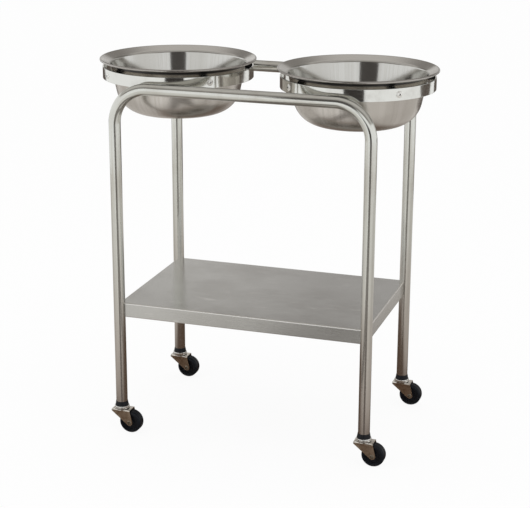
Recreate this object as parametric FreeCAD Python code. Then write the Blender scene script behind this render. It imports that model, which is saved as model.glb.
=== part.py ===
"""Double basin stand: two bowls in flat rings on a bent tube frame with a shelf and four casters.

Millimetres, +Z up, floor at z = 0, front of the stand towards -Y. The origin is on the floor
under the middle of the stand.
"""

import math
import os

import FreeCAD
import Part

V = FreeCAD.Vector
UP = V(0, 0, 1)
ORIGIN = V(0, 0, 0)

# Bent tube frames
TUBE_OD = 25.4
TUBE_WALL = 1.6
BEND_RADIUS = 76.2
LEG_LENGTH = 708.0
SHELF_ABOVE_LEG_END = 231.0

# Flat rings and the weld that joins them to the rails
LIP_PAST_RING = 6.35
RING_THICKNESS = 3.2
RING_HEIGHT = 25.4
RING_TOP_ABOVE_RAIL = 24.4
GAP_BETWEEN_BOWLS = 63.5
WELD_GAP = 0.3
WELD_LENGTH = 34.0
WELD_HEIGHT = 7.5
WELD_WIDTH = 7.0

# Shelf, folded from one sheet
SHELF_SHEET = 1.2
SHELF_FLANGE = 31.75
SHELF_HEM = 10.0
SHELF_BEND = 3.0

# Bowls, pressed from sheet
BOWL_SHEET = 1.0
BOWL_OD = 342.9
BOWL_DEPTH = 120.65
BOWL_SIDE_RUN = 94.45
BOWL_CORNER = 60.0
BOWL_WALL_ANGLE = 11.6
BOWL_SHOULDER = 7.0
BOWL_FLARE_ANGLE = 27.0
BOWL_CURL = 2.6
BOWL_CURL_TURN = 250.0
BOWL_LIP_ABOVE_RAIL = 41.5

# Rubber bumpers inside the rings, each held by a blind rivet
BUMPERS_PER_RING = 4
FIRST_BUMPER_ANGLE = 45.0
BUMPER_OD = 19.0
BUMPER_NOSE_RADIUS = 12.0
BUMPER_BASE = 4.0
BUMPER_CAVITY_OD = 9.0
BUMPER_CAVITY = 6.5
BUMPER_TO_BOWL = 0.3
RIVET_HEAD_OD = 14.5
RIVET_HEAD_HEIGHT = 2.2
RIVET_SHANK_OD = 4.8
RIVET_BORE_OD = 3.0
RIVET_MOUTH_OD = 4.4
RIVET_MOUTH_DEPTH = 1.4
RIVET_BULB_OD = 7.4
RIVET_BULB = 4.5

# Casters
WHEEL_OD = 50.8
TREAD_WIDTH = 22.5
TREAD_SHOULDER = 5.0
TREAD_THICKNESS = 6.4
HUB_RIM_WIDTH = 18.0
HUB_RECESS = 2.6
HUB_RIM_LAND = 3.0
HUB_BOSS_OD = 15.0
HUB_RUNNING_GAP = 0.4
SWIVEL_OFFSET = 22.5
FORK_SHEET = 2.0
FORK_INSIDE = 25.4
FORK_BEND = 2.8
FORK_FRONT = 19.5
FORK_REAR = 23.5
FORK_HOOD = 4.0
FORK_REAR_DROP = 3.0
FORK_LOBE = 7.0
FORK_DISH_OD = 34.0
FORK_DISH_HEIGHT = 7.0
WHEEL_TO_FORK = 1.7
AXLE_OD = 8.0
AXLE_BORE_OD = 6.4
AXLE_BORE_DEPTH = 6.0
AXLE_HEAD_OD = 9.8
AXLE_HEAD = 1.5
RUNNING_FIT = 0.06
STEM_OD = 9.5
STEM_RIVET_OD = 15.0
STEM_RIVET = 2.4
STEM_HEAD_FLATS = 14.3
STEM_HEAD = 6.0
BALL_OD = 5.5
BALLS = 6
BALL_PITCH_RADIUS = 10.6
CAGE_SHEET = 1.6
CAGE_WIDTH = 6.6
CUP_OD = 33.0
CUP_SHEET = 1.9
CUP_EDGE = 1.6
CUP_GAP = 0.6
COLLAR_HEIGHT = 10.0
COLLAR_TOP_OD = 26.5
COLLAR_BOTTOM_OD = 29.6
COLLAR_EDGE = 1.0
SLEEVE_HEIGHT = 38.0
SLEEVE_LEAD = 1.5

QUARTER_TURN = 90
FULL_TURN = 360

# Heights that follow from the sizes above
AXLE_Z = WHEEL_OD / 2
FORK_UNDER_Z = WHEEL_OD + WHEEL_TO_FORK
FORK_TOP_Z = FORK_UNDER_Z + FORK_SHEET
CUP_CEILING_Z = FORK_TOP_Z + BALL_OD + 2 * RUNNING_FIT
CUP_TOP_Z = CUP_CEILING_Z + CUP_SHEET
LEG_END_Z = CUP_TOP_Z + COLLAR_HEIGHT
RAIL_Z = LEG_END_Z + LEG_LENGTH
SHELF_Z = LEG_END_Z + SHELF_ABOVE_LEG_END
RING_TOP_Z = RAIL_Z + RING_TOP_ABOVE_RAIL
RING_MIDDLE_Z = RING_TOP_Z - RING_HEIGHT / 2
LIP_Z = RAIL_Z + BOWL_LIP_ABOVE_RAIL

# Other sizes that follow
TUBE_ID = TUBE_OD - 2 * TUBE_WALL
BOWL_FLAT_RADIUS = BOWL_OD / 2 - BOWL_SIDE_RUN
RING_OD = BOWL_OD - 2 * LIP_PAST_RING
RING_ID = RING_OD - 2 * RING_THICKNESS
RING_SPACING = BOWL_OD + GAP_BETWEEN_BOWLS
LEG_SPACING_X = RING_SPACING + 2 * BEND_RADIUS
LEG_SPACING_Y = RING_OD + TUBE_OD + 2 * WELD_GAP
FORK_OUTSIDE = FORK_INSIDE + 2 * FORK_SHEET

SIDES = {"left": -1, "right": 1}
CORNERS = {"fl": (-1, -1), "fr": (1, -1), "rl": (-1, 1), "rr": (1, 1)}


class Outline:
    """A closed outline in the XZ plane, drawn from edge to edge."""

    def __init__(self, x, z):
        self.start = V(x, 0, z)
        self.end = self.start
        self.edges = []

    def line(self, x, z):
        """A straight edge to the point given."""
        point = V(x, 0, z)
        self.edges.append(Part.makeLine(self.end, point))
        self.end = point
        return self

    def arc(self, middle, end):
        """A round edge through one point to another."""
        through = V(middle[0], 0, middle[1])
        point = V(end[0], 0, end[1])
        self.edges.append(Part.Arc(self.end, through, point).toShape())
        self.end = point
        return self

    def bend(self, centre, radius, first, last):
        """A round edge about a centre, from one angle in degrees to another."""
        half = (first + last) / 2
        return self.arc(on_circle(centre, radius, half), on_circle(centre, radius, last))

    def face(self):
        """The flat face inside the outline, closed with a straight edge."""
        self.line(self.start.x, self.start.z)
        return Part.Face(Part.Wire(self.edges))

    def turned(self):
        """The outline turned once round the Z axis."""
        return self.face().revolve(ORIGIN, UP, FULL_TURN)


def on_circle(centre, radius, degrees):
    """The point of a circle at an angle."""
    turn = math.radians(degrees)
    return centre[0] + radius * math.cos(turn), centre[1] + radius * math.sin(turn)


def disc(diameter, bottom, height):
    """An upright round bar on the Z axis."""
    return Part.makeCylinder(diameter / 2, height, V(0, 0, bottom))


def moved(shape, x, y, z=0.0):
    """A copy of the shape in another place."""
    copy = shape.copy()
    copy.translate(V(x, y, z))
    return copy


def turned_to(shape, degrees):
    """A copy of the shape turned about the Z axis."""
    copy = shape.copy()
    copy.rotate(ORIGIN, UP, degrees)
    return copy


def bent_bar(diameter, y):
    """A round bar that runs up one leg, along the rail and down the other leg."""
    half = LEG_SPACING_X / 2
    bend_z = RAIL_Z - BEND_RADIUS
    circle = Part.Circle(V(-half, y, LEG_END_Z), UP, diameter / 2)
    foot = Part.Face(Part.Wire(circle.toShape()))
    leg = foot.extrude(V(0, 0, bend_z - LEG_END_Z))
    elbow_face = moved(foot, 0, 0, bend_z - LEG_END_Z)
    elbow_centre = V(BEND_RADIUS - half, y, bend_z)
    elbow = elbow_face.revolve(elbow_centre, V(0, 1, 0), QUARTER_TURN)
    rail_length = LEG_SPACING_X - 2 * BEND_RADIUS
    rail = Part.makeCylinder(diameter / 2, rail_length, V(BEND_RADIUS - half, y, RAIL_Z), V(1, 0, 0))
    other_leg = leg.mirror(ORIGIN, V(1, 0, 0))
    other_elbow = elbow.mirror(ORIGIN, V(1, 0, 0))
    return leg.multiFuse([elbow, rail, other_elbow, other_leg]).removeSplitter()


def tube_frame(side):
    """Two legs and the rail between them, bent from one tube."""
    y = side * LEG_SPACING_Y / 2
    return bent_bar(TUBE_OD, y).cut(bent_bar(TUBE_ID, y))


def ring_weld(side):
    """Weld metal between the ring's outer face and one rail, at the ring's own origin."""
    bottom = RING_TOP_Z - RING_HEIGHT
    top = RAIL_Z + WELD_HEIGHT
    inner = RING_OD / 2 - WELD_WIDTH / 2
    corner_y = inner if side > 0 else -inner - WELD_WIDTH
    block = Part.makeBox(WELD_LENGTH, WELD_WIDTH, top - bottom, V(-WELD_LENGTH / 2, corner_y, bottom))
    return block.cut(disc(RING_ID + RING_THICKNESS, bottom, RING_HEIGHT))


def ring(side):
    """A flat bar rolled into a hoop, drilled for its rivets and welded to both rails."""
    bottom = RING_TOP_Z - RING_HEIGHT
    hoop = disc(RING_OD, bottom, RING_HEIGHT).cut(disc(RING_ID, bottom, RING_HEIGHT))
    hoop = hoop.multiFuse([ring_weld(-1), ring_weld(1)])
    hole = Part.makeCylinder(RIVET_SHANK_OD / 2, RING_OD, V(0, 0, RING_MIDDLE_Z), V(1, 0, 0))
    for angle in bumper_angles():
        hoop = hoop.cut(turned_to(hole, angle))
    placed = moved(hoop, side * RING_SPACING / 2, 0)
    for rail_side in (-1, 1):
        placed = placed.cut(bent_bar(TUBE_OD, rail_side * LEG_SPACING_Y / 2))
    return placed


def shelf():
    """A tray turned upside down: flat top, flanges down on four sides, hems turned in."""
    width = LEG_SPACING_X
    depth = LEG_SPACING_Y
    bottom = SHELF_Z - SHELF_FLANGE
    outside = folded_block(width, depth, bottom, SHELF_FLANGE, SHELF_BEND)
    inside_width = width - 2 * SHELF_SHEET
    inside_depth = depth - 2 * SHELF_SHEET
    inside_height = SHELF_FLANGE - 2 * SHELF_SHEET
    inside_bend = SHELF_BEND - SHELF_SHEET
    inside = folded_block(inside_width, inside_depth, bottom + SHELF_SHEET, inside_height, inside_bend)
    mouth_width = inside_width - 2 * SHELF_HEM
    mouth_depth = inside_depth - 2 * SHELF_HEM
    mouth = Part.makeBox(mouth_width, mouth_depth, SHELF_FLANGE / 2)
    mouth.translate(V(-mouth_width / 2, -mouth_depth / 2, bottom))
    tray = outside.cut(inside).cut(mouth)
    for x_side, y_side in CORNERS.values():
        leg = disc(TUBE_OD, LEG_END_Z, LEG_LENGTH)
        tray = tray.cut(moved(leg, x_side * LEG_SPACING_X / 2, y_side * LEG_SPACING_Y / 2))
    return tray


def folded_block(width, depth, bottom, height, radius):
    """A block with its four top edges rounded."""
    block = Part.makeBox(width, depth, height, V(-width / 2, -depth / 2, bottom))
    top = bottom + height
    edges = [e for e in block.Edges if min(v.Z for v in e.Vertexes) > top - height / 2]
    return block.makeFillet(radius, edges)


def bowl_surface(outline, inset):
    """The bowl's side from the middle of its bottom to the end of the curled lip."""
    bottom = LIP_Z - BOWL_DEPTH
    corner = (BOWL_FLAT_RADIUS, bottom + BOWL_CORNER)
    curl = (BOWL_OD / 2 - BOWL_CURL, LIP_Z - BOWL_CURL)
    curl_radius = BOWL_CURL - BOWL_SHEET + inset
    flare_up = QUARTER_TURN + BOWL_FLARE_ANGLE
    shoulder = shoulder_centre(corner, curl)
    shoulder_radius = BOWL_SHOULDER + inset
    wall_side = 2 * QUARTER_TURN - BOWL_WALL_ANGLE
    wall_end = on_circle(shoulder, shoulder_radius, wall_side)
    flare_end = on_circle(curl, curl_radius, flare_up)
    outline.line(corner[0], bottom + inset)
    outline.bend(corner, BOWL_CORNER - inset, -QUARTER_TURN, -BOWL_WALL_ANGLE)
    outline.line(*wall_end)
    outline.bend(shoulder, shoulder_radius, wall_side, flare_up)
    outline.line(*flare_end)
    outline.bend(curl, curl_radius, flare_up, flare_up - BOWL_CURL_TURN)


def shoulder_centre(corner, curl):
    """The centre of the bend between the bowl's wall and its flared lip."""
    wall = math.radians(BOWL_WALL_ANGLE)
    flare = math.radians(BOWL_FLARE_ANGLE)
    wall_normal = (math.cos(wall), -math.sin(wall))
    flare_normal = (math.sin(flare), -math.cos(flare))
    along_wall = dot(wall_normal, corner) + BOWL_CORNER + BOWL_SHOULDER
    along_flare = dot(flare_normal, curl) - BOWL_CURL + BOWL_SHEET + BOWL_SHOULDER
    scale = wall_normal[0] * flare_normal[1] - wall_normal[1] * flare_normal[0]
    x = (along_wall * flare_normal[1] - wall_normal[1] * along_flare) / scale
    z = (wall_normal[0] * along_flare - along_wall * flare_normal[0]) / scale
    return x, z


def dot(first, second):
    """The product of two plane vectors."""
    return first[0] * second[0] + first[1] * second[1]


def bowl():
    """A bowl with a flat bottom, a leaning wall and a flared lip that ends in a curl."""
    bottom = LIP_Z - BOWL_DEPTH
    outer = Outline(0, bottom)
    bowl_surface(outer, 0)
    inner = Outline(0, bottom + BOWL_SHEET)
    bowl_surface(inner, BOWL_SHEET)
    axis_edge = Part.makeLine(inner.start, outer.start)
    end_edge = Part.makeLine(outer.end, inner.end)
    edges = outer.edges + [end_edge] + inner.edges + [axis_edge]
    section = Part.Face(Part.Wire(Part.__sortEdges__(edges)))
    return section.revolve(ORIGIN, UP, FULL_TURN)


def bumper_angles():
    """The directions of a ring's bumpers."""
    step = FULL_TURN / BUMPERS_PER_RING
    return [FIRST_BUMPER_ANGLE + step * index for index in range(BUMPERS_PER_RING)]


def bumper_reach():
    """How far from the ring's axis the bumper's nose ends, just clear of the bowl's wall."""
    wall = math.radians(BOWL_WALL_ANGLE)
    corner_z = LIP_Z - BOWL_DEPTH + BOWL_CORNER
    corner_side = BOWL_FLAT_RADIUS * math.cos(wall) + BOWL_CORNER
    nose_side = corner_side + BUMPER_TO_BOWL + BUMPER_NOSE_RADIUS
    nose_centre = (nose_side + (RING_MIDDLE_Z - corner_z) * math.sin(wall)) / math.cos(wall)
    return nose_centre - BUMPER_NOSE_RADIUS


def bumper():
    """A rubber stud with a round nose and a hollow for the rivet's bulb, pointing at the axis."""
    reach = bumper_reach()
    length = RING_ID / 2 - reach
    side = BUMPER_OD / 2
    drop = BUMPER_NOSE_RADIUS - math.sqrt(BUMPER_NOSE_RADIUS**2 - side**2)
    nose_edge = -math.degrees(math.acos(side / BUMPER_NOSE_RADIUS))
    nose_centre = (0, BUMPER_NOSE_RADIUS - length)
    middle = on_circle(nose_centre, BUMPER_NOSE_RADIUS, (nose_edge - QUARTER_TURN) / 2)
    stud = Outline(0, RING_THICKNESS)
    stud.line(0, -length)
    stud.arc(middle, (side, drop - length))
    stud.line(side, RING_THICKNESS)
    hollow = disc(BUMPER_CAVITY_OD, -BUMPER_BASE - BUMPER_CAVITY, BUMPER_CAVITY)
    hole = disc(RIVET_SHANK_OD, -BUMPER_BASE, BUMPER_BASE + 2 * RING_THICKNESS)
    shape = lying(stud.turned().cut(hollow).cut(hole), RING_ID / 2)
    return shape.common(disc(RING_ID, RING_MIDDLE_Z - BUMPER_OD, 2 * BUMPER_OD))


def rivet():
    """A blind rivet: wide domed head outside the ring, bulb inside the bumper."""
    head = RIVET_HEAD_OD / 2
    top = RING_THICKNESS + RIVET_HEAD_HEIGHT
    dome = (head**2 + RIVET_HEAD_HEIGHT**2) / (2 * RIVET_HEAD_HEIGHT)
    dome_angle = math.degrees(math.asin(head / dome))
    middle = on_circle((0, top - dome), dome, QUARTER_TURN - dome_angle / 2)
    cap = Outline(0, RING_THICKNESS / 2)
    cap.line(head, RING_THICKNESS / 2)
    cap.line(head, RING_THICKNESS)
    cap.arc(middle, (0, top))
    cap_shape = lying(cap.turned(), RING_ID / 2)
    cap_shape = cap_shape.cut(disc(RING_OD, RING_MIDDLE_Z - RING_HEIGHT, 2 * RING_HEIGHT))
    shank = disc(RIVET_SHANK_OD, -BUMPER_BASE - RIVET_BULB / 2, BUMPER_BASE + RING_THICKNESS + RIVET_BULB / 2)
    shank = shank.fuse(disc(RIVET_SHANK_OD, RING_THICKNESS, RIVET_HEAD_HEIGHT / 4))
    shank = shank.fuse(disc(RIVET_BULB_OD, -BUMPER_BASE - RIVET_BULB, RIVET_BULB))
    bore = disc(RIVET_BORE_OD, -BUMPER_BASE - RIVET_BULB / 2, top + BUMPER_BASE + RIVET_BULB)
    mouth = disc(RIVET_MOUTH_OD, top - RIVET_MOUTH_DEPTH, RIVET_HEAD_HEIGHT)
    return cap_shape.fuse(lying(shank, RING_ID / 2)).cut(lying(bore.fuse(mouth), RING_ID / 2))


def lying(shape, distance):
    """A shape on the Z axis laid along +X at the ring's middle height, away from the ring's axis."""
    copy = shape.copy()
    copy.rotate(ORIGIN, V(0, 1, 0), QUARTER_TURN)
    copy.translate(V(distance, 0, RING_MIDDLE_Z))
    return copy


def adapter():
    """A sleeve that fills the tube's end, with a tapered collar below it."""
    bore = STEM_OD / 2
    collar_bottom = COLLAR_BOTTOM_OD / 2
    collar_top = COLLAR_TOP_OD / 2
    sleeve = TUBE_ID / 2
    sleeve_top = LEG_END_Z + SLEEVE_HEIGHT
    outline = Outline(bore, CUP_TOP_Z)
    outline.line(collar_bottom - COLLAR_EDGE, CUP_TOP_Z)
    outline.line(collar_bottom, CUP_TOP_Z + COLLAR_EDGE)
    outline.line(collar_top, LEG_END_Z)
    outline.line(sleeve, LEG_END_Z)
    outline.line(sleeve, sleeve_top - SLEEVE_LEAD)
    outline.line(sleeve - SLEEVE_LEAD, sleeve_top)
    outline.line(bore, sleeve_top)
    return outline.turned()


def hexagon(flats, bottom, height):
    """An upright hexagonal prism on the Z axis."""
    step = FULL_TURN / 6
    radius = flats / 2 / math.cos(math.radians(step / 2))
    corners = [on_circle((0, 0), radius, step * index) for index in range(7)]
    wire = Part.makePolygon([V(x, y, bottom) for x, y in corners])
    return Part.Face(wire).extrude(V(0, 0, height))


def stem():
    """A bolt through the adapter, riveted over below the fork."""
    foot = FORK_UNDER_Z - RUNNING_FIT - STEM_RIVET
    top = LEG_END_Z + SLEEVE_HEIGHT
    shaft = disc(STEM_OD, foot, top - foot)
    rivet_end = disc(STEM_RIVET_OD, foot, STEM_RIVET)
    edges = [e for e in rivet_end.Edges if e.Curve.TypeId == "Part::GeomCircle" and e.Vertexes[0].Z < foot + 1]
    rivet_end = rivet_end.makeChamfer(STEM_RIVET / 2, edges)
    head = hexagon(STEM_HEAD_FLATS, top, STEM_HEAD)
    return shaft.multiFuse([rivet_end, head])


def race_cup():
    """The pressed cup over the balls."""
    outer = CUP_OD / 2
    skirt = outer - CUP_SHEET
    rim = FORK_TOP_Z + CUP_GAP
    corner = (outer - CUP_EDGE, CUP_TOP_Z - CUP_EDGE)
    outline = Outline(STEM_OD / 2, CUP_CEILING_Z)
    outline.line(skirt, CUP_CEILING_Z)
    outline.line(skirt, rim)
    outline.line(outer, rim)
    outline.line(outer, CUP_TOP_Z - CUP_EDGE)
    outline.bend(corner, CUP_EDGE, 0, QUARTER_TURN)
    outline.line(STEM_OD / 2, CUP_TOP_Z)
    return outline.turned()


def ball_cage():
    """The balls of the swivel in their flat cage."""
    middle = FORK_TOP_Z + RUNNING_FIT + BALL_OD / 2
    outer = 2 * BALL_PITCH_RADIUS + CAGE_WIDTH
    inner = 2 * BALL_PITCH_RADIUS - CAGE_WIDTH
    cage = disc(outer, middle - CAGE_SHEET / 2, CAGE_SHEET)
    cage = cage.cut(disc(inner, middle - CAGE_SHEET / 2, CAGE_SHEET))
    balls = []
    for index in range(BALLS):
        x, y = on_circle((0, 0), BALL_PITCH_RADIUS, FULL_TURN / BALLS * index)
        balls.append(Part.makeSphere(BALL_OD / 2, V(x, y, middle)))
    return cage.multiFuse(balls)


def fork_side():
    """The side view of the fork: a flat top that narrows to a round lobe about the axle."""
    lobe = (SWIVEL_OFFSET, AXLE_Z)
    front = (-FORK_FRONT, FORK_TOP_Z - FORK_HOOD)
    rear = (FORK_REAR, FORK_TOP_Z - FORK_REAR_DROP)
    front_angle = tangent_angle(front, lobe, FORK_LOBE, -1)
    rear_angle = tangent_angle(rear, lobe, FORK_LOBE, 1)
    outline = Outline(-FORK_FRONT, FORK_TOP_Z)
    outline.line(*front)
    outline.line(*on_circle(lobe, FORK_LOBE, front_angle))
    outline.bend(lobe, FORK_LOBE, front_angle, rear_angle)
    outline.line(*rear)
    outline.line(FORK_REAR, FORK_TOP_Z)
    return outline.face()


def tangent_angle(point, centre, radius, side):
    """The angle in degrees on a circle at which a line from a point touches it."""
    across = point[0] - centre[0]
    above = point[1] - centre[1]
    towards = math.degrees(math.atan2(above, across))
    spread = math.degrees(math.acos(radius / math.hypot(across, above)))
    angle = towards - side * spread
    return angle if side > 0 else angle - FULL_TURN


def fork():
    """A fork folded from one sheet, open at the back and hooded in front."""
    half = FORK_OUTSIDE / 2
    block = moved(fork_side(), 0, -half).extrude(V(0, FORK_OUTSIDE, 0))
    top_edges = [e for e in block.Edges if is_long_top_edge(e)]
    block = block.makeFillet(FORK_BEND, top_edges)
    block = block.fuse(race_dish(FORK_OUTSIDE, FORK_DISH_OD, FORK_TOP_Z))
    inside_length = FORK_FRONT + FORK_REAR + WHEEL_OD
    inside = Part.makeBox(inside_length, FORK_INSIDE, FORK_UNDER_Z)
    inside.translate(V(FORK_SHEET - FORK_FRONT, -FORK_INSIDE / 2, 0))
    stem_hole = disc(STEM_OD + 2 * RUNNING_FIT, FORK_UNDER_Z - FORK_SHEET, 3 * FORK_SHEET)
    axle_hole = on_axle(disc(AXLE_OD, -half, FORK_OUTSIDE))
    dish_inside = race_dish(FORK_INSIDE, FORK_DISH_OD - 2 * FORK_SHEET, FORK_UNDER_Z)
    return block.cut(inside).cut(dish_inside).cut(stem_hole).cut(axle_hole)


def race_dish(bottom_od, top_od, top):
    """The round swelling under the ball race, wider than the fork."""
    return Part.makeCone(bottom_od / 2, top_od / 2, FORK_DISH_HEIGHT, V(0, 0, top - FORK_DISH_HEIGHT))


def is_long_top_edge(edge):
    """True for the two edges along the top of the fork."""
    ends = edge.Vertexes
    flat = min(ends[0].Z, ends[-1].Z) > FORK_TOP_Z - FORK_SHEET / 2
    return flat and abs(ends[0].X - ends[-1].X) > FORK_FRONT


def on_axle(shape):
    """A shape on the Z axis laid along the axle of the wheel."""
    copy = shape.copy()
    copy.rotate(ORIGIN, V(1, 0, 0), QUARTER_TURN)
    copy.translate(V(SWIVEL_OFFSET, 0, AXLE_Z))
    return copy


def axle():
    """A tubular rivet through the fork, spread at both ends."""
    half = FORK_OUTSIDE / 2
    shape = disc(AXLE_OD, -half, FORK_OUTSIDE)
    for bottom in (-half - AXLE_HEAD, half):
        head = disc(AXLE_HEAD_OD, bottom, AXLE_HEAD)
        outer_z = bottom if bottom < 0 else bottom + AXLE_HEAD
        edges = [e for e in head.Edges if abs(e.Vertexes[0].Z - outer_z) < AXLE_HEAD / 4]
        rims = [e for e in edges if e.Curve.TypeId == "Part::GeomCircle"]
        shape = shape.fuse(head.makeFillet(AXLE_HEAD / 2, rims))
    reach = half + AXLE_HEAD
    shape = shape.cut(disc(AXLE_BORE_OD, -reach, AXLE_BORE_DEPTH))
    shape = shape.cut(disc(AXLE_BORE_OD, reach - AXLE_BORE_DEPTH, AXLE_BORE_DEPTH))
    return on_axle(shape)


def wheel_hub():
    """The wheel's moulded core: a boss, a thin web and a rim."""
    bore = AXLE_OD / 2 + RUNNING_FIT
    boss = HUB_BOSS_OD / 2
    rim = WHEEL_OD / 2 - TREAD_THICKNESS
    boss_half = FORK_INSIDE / 2 - HUB_RUNNING_GAP
    rim_half = HUB_RIM_WIDTH / 2
    web_half = rim_half - HUB_RECESS
    outline = Outline(bore, -boss_half)
    outline.line(boss, -boss_half)
    outline.line(boss, -web_half)
    outline.line(rim - HUB_RIM_LAND, -web_half)
    outline.line(rim - HUB_RIM_LAND, -rim_half)
    outline.line(rim, -rim_half)
    outline.line(rim, rim_half)
    outline.line(rim - HUB_RIM_LAND, rim_half)
    outline.line(rim - HUB_RIM_LAND, web_half)
    outline.line(boss, web_half)
    outline.line(boss, boss_half)
    outline.line(bore, boss_half)
    return on_axle(outline.turned())


def tread():
    """The rubber tyre, rounded at both shoulders."""
    inner = WHEEL_OD / 2 - TREAD_THICKNESS
    outer = WHEEL_OD / 2
    half = TREAD_WIDTH / 2
    upper = (outer - TREAD_SHOULDER, half - TREAD_SHOULDER)
    lower = (outer - TREAD_SHOULDER, TREAD_SHOULDER - half)
    outline = Outline(inner, -half)
    outline.line(lower[0], -half)
    outline.bend(lower, TREAD_SHOULDER, -QUARTER_TURN, 0)
    outline.line(outer, upper[1])
    outline.bend(upper, TREAD_SHOULDER, 0, QUARTER_TURN)
    outline.line(inner, half)
    return on_axle(outline.turned())


def save(name, shape):
    """Write one part as its own file."""
    solid = shape.Solids[0] if len(shape.Solids) == 1 else shape
    solid.exportStep(os.path.join("parts", name + ".step"))


def save_basins():
    """Each ring with its bowl, bumpers and rivets."""
    bowl_shape = bowl()
    bumper_shape = bumper()
    rivet_shape = rivet()
    for name, side in SIDES.items():
        x = side * RING_SPACING / 2
        save(name + "_ring", ring(side))
        save(name + "_basin", moved(bowl_shape, x, 0))
        for index, angle in enumerate(bumper_angles(), start=1):
            save(name + "_bumper_" + str(index), moved(turned_to(bumper_shape, angle), x, 0))
            save(name + "_rivet_" + str(index), moved(turned_to(rivet_shape, angle), x, 0))


def save_casters():
    """Four casters, all trailing the same way."""
    pieces = {
        "adapter": adapter(),
        "stem": stem(),
        "race_cup": race_cup(),
        "ball_cage": ball_cage(),
        "fork": fork(),
        "axle": axle(),
        "wheel_hub": wheel_hub(),
        "tread": tread(),
    }
    for corner, (x_side, y_side) in CORNERS.items():
        x = x_side * LEG_SPACING_X / 2
        y = y_side * LEG_SPACING_Y / 2
        for piece, shape in pieces.items():
            save(corner + "_" + piece, moved(shape, x, y))


os.makedirs("parts", exist_ok=True)
save("front_frame", tube_frame(-1))
save("rear_frame", tube_frame(1))
save("shelf", shelf())
save_basins()
save_casters()
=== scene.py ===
import math

import bmesh
import bpy
from mathutils import Matrix, Vector


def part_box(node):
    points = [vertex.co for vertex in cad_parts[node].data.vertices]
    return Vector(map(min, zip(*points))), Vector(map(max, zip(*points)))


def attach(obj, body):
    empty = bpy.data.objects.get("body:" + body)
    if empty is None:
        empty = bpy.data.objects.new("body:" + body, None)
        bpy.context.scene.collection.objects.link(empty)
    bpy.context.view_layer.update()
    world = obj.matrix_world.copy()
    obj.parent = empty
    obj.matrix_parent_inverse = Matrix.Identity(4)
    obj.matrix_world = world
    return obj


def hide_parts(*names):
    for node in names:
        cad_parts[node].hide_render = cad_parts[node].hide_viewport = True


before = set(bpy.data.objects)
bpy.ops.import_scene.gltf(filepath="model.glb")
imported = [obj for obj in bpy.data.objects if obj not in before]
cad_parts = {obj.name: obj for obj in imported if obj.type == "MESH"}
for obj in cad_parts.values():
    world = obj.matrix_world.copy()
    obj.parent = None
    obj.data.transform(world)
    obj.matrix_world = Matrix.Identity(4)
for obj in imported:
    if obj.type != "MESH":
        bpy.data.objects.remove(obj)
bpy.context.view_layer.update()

# ---- Tube frames
# Two lengths of 25 mm stainless tube, each bent twice into a leg, a rail and a leg.
# The tube is drawn and centreless polished, so its fine grain runs round it. Towards the floor the
# legs are a little duller, and a painted reflection of the brown surroundings warms their colour.

TUBE_RADIUS = 0.0127
TUBE_WALL = 0.0016
BEND_RADIUS = 0.0762
TUBE_SIDES = 64
BEND_STEPS = 28
STRAIGHT_HOLD = 0.002
TOUCH = 1e-6
TUBE_ROUGH_AND_PAINTED_REFLECTION_HEIGHTS = (0.05, 0.52)
TUBE_COLOUR = (0.665, 0.672, 0.632)
TUBE_SMUDGE = (0.575, 0.563, 0.520)
# Colour of the painted reflection of the brown surroundings, laid on near the floor.
TUBE_PAINTED_BROWN_REFLECTION = (0.44, 0.375, 0.335)


class Signal:
    """A socket's value, which can be used in sums."""

    def __init__(self, nodes, socket):
        self.nodes = nodes
        self.socket = socket

    def sum(self, operation, *values):
        return self.nodes.node("ShaderNodeMath", {"operation": operation}, dict(enumerate(values)))

    def __add__(self, other):
        return self.sum("ADD", self, other)

    def __radd__(self, other):
        return self.sum("ADD", other, self)

    def __sub__(self, other):
        return self.sum("SUBTRACT", self, other)

    def __rsub__(self, other):
        return self.sum("SUBTRACT", other, self)

    def __mul__(self, other):
        return self.sum("MULTIPLY", self, other)

    def __rmul__(self, other):
        return self.sum("MULTIPLY", other, self)

    def __abs__(self):
        return self.sum("ABSOLUTE", self)

    def highest(self, other):
        return self.sum("MAXIMUM", self, other)


class Nodes:
    """A tree of shader nodes."""

    def __init__(self, tree):
        self.tree = tree

    def node(self, kind, settings=None, sockets=None, output=0):
        """Adds a node: its settings first, then its sockets' values or links."""
        made = self.tree.nodes.new(kind)
        for setting, value in (settings or {}).items():
            if setting == "stops":
                self.set_stops(made.color_ramp, value)
            else:
                setattr(made, setting, value)
        for socket, value in (sockets or {}).items():
            self.feed(made.inputs[socket], value)
        return Signal(self, made.outputs[output])

    def set_stops(self, ramp, stops):
        """Sets a ramp's grey levels: its two ends first, then new stops between them."""
        for element, (_, level) in ((ramp.elements[0], stops[0]), (ramp.elements[-1], stops[-1])):
            element.color = (level, level, level, 1.0)
        for place, level in stops[1:-1]:
            ramp.elements.new(place).color = (level, level, level, 1.0)

    def feed(self, socket, value):
        if isinstance(value, Signal):
            self.tree.links.new(value.socket, socket)
        elif socket.type == "RGBA" and len(value) == 3:
            socket.default_value = (*value, 1.0)
        else:
            socket.default_value = value

    def show(self, shader, output="Material Output"):
        """Sends a shader to the tree's output."""
        self.feed(self.tree.nodes[output].inputs["Surface"], shader)

    def blend(self, share, first, second):
        """A shader between two shaders."""
        return self.node("ShaderNodeMixShader", None, {0: share, 1: first, 2: second})


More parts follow.
